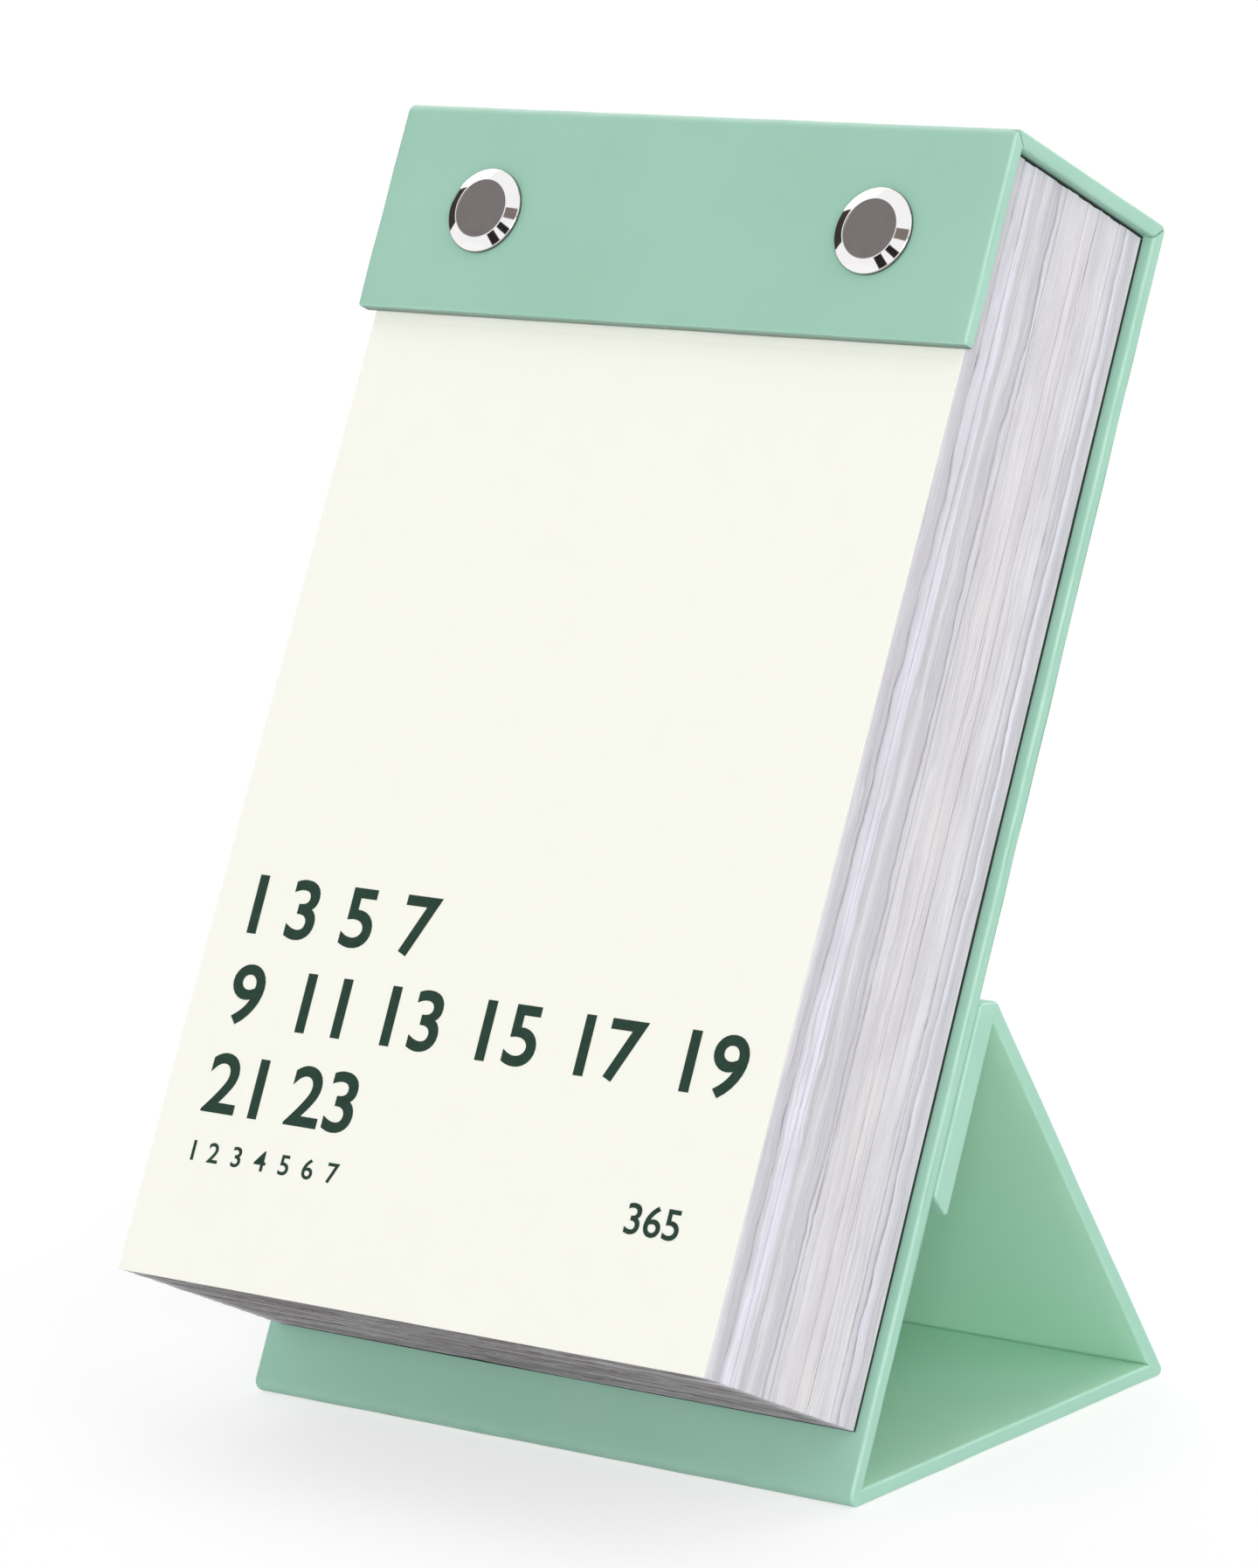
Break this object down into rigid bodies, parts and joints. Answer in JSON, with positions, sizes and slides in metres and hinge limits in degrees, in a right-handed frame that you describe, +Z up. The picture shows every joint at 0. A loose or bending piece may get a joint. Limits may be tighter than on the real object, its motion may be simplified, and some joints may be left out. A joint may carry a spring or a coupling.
{
  "type": "desk tear-off calendar",
  "caption": "Thick tear-off desk calendar clamped by two screw posts in a mint hard case that folds into an easel stand.",
  "frame": {"origin": "on the resting surface, under the middle of the object's width and depth", "axes": "+Z up, -Y to the front where the front sheet faces, +X to the right seen from the front"},
  "size_m": [0.105, 0.1078, 0.1791],
  "materials": {
    "mint_wrap": "vinyl-coated bookbinding paper, satin, finely grained",
    "greyboard": "raw grey board",
    "leaf_paper": "cut edges of uncoated paper",
    "cream_paper": "smooth uncoated cream paper",
    "black_card": "matte black card",
    "black_tape": "black binding cloth tape",
    "chrome": "polished cone round a satin face",
    "screw_steel": "nickel-plated, slotted",
    "magnet_nickel": "nickel-plated disc"
  },
  "bodies": {
    "block_and_back": {"back_cover": "mint_wrap", "back_board": "greyboard", "back_magnet_left": "magnet_nickel", "back_magnet_right": "magnet_nickel", "spine_cover": "mint_wrap", "spine_board": "greyboard", "strip_cover": "mint_wrap", "strip_board": "greyboard", "backing_card": "black_card", "head_tape": "black_tape", "gathering_01": "leaf_paper", "gathering_02": "leaf_paper", "gathering_03": "leaf_paper", "gathering_04": "leaf_paper", "gathering_05": "leaf_paper", "gathering_06": "leaf_paper", "gathering_07": "leaf_paper", "gathering_08": "leaf_paper", "gathering_09": "leaf_paper", "gathering_10": "leaf_paper", "gathering_11": "leaf_paper", "gathering_12": "leaf_paper", "front_sheet_stub": "cream_paper", "screw_post_left": "chrome", "screw_post_right": "chrome", "post_screw_left": "screw_steel", "post_screw_right": "screw_steel"},
    "base": {"base_cover": "mint_wrap", "base_board": "greyboard", "back_to_base_crease": "mint_wrap"},
    "strut": {"strut_cover": "mint_wrap", "strut_board": "greyboard", "base_to_strut_crease": "mint_wrap"},
    "flap": {"flap_cover": "mint_wrap", "flap_board": "greyboard", "flap_magnet_left": "magnet_nickel", "flap_magnet_right": "magnet_nickel", "strut_to_flap_crease": "mint_wrap"},
    "front_sheet": {"front_sheet": "cream_paper"}
  },
  "joints": [
    {"name": "stand_base_fold", "type": "hinge", "parent": "block_and_back", "child": "base", "pos_m": [0, -0.02525, 0.0014], "axis": [-1, 0, 0], "range_deg": [0, 116], "deforming": ["back_to_base_crease"]},
    {"name": "stand_strut_fold", "type": "hinge", "parent": "base", "child": "strut", "pos_m": [0, 0.04653, 0.0014], "axis": [-1, 0, 0], "range_deg": [0, 122.3], "deforming": ["base_to_strut_crease"]},
    {"name": "stand_flap_fold", "type": "hinge", "parent": "strut", "child": "flap", "pos_m": [0, 0.00767, 0.06091], "axis": [-1, 0, 0], "range_deg": [0, 121.7], "deforming": ["strut_to_flap_crease"]},
    {"name": "front_sheet_turn", "type": "hinge", "parent": "block_and_back", "child": "front_sheet", "pos_m": [0, 0.00702, 0.14964], "axis": [-1, 0, 0], "range_deg": [0, 110]}
  ],
  "couplings": [
    {"joint": "stand_strut_fold", "follows": "stand_base_fold", "ratio": 1.0543},
    {"joint": "stand_flap_fold", "follows": "stand_base_fold", "ratio": 1.0491}
  ]
}
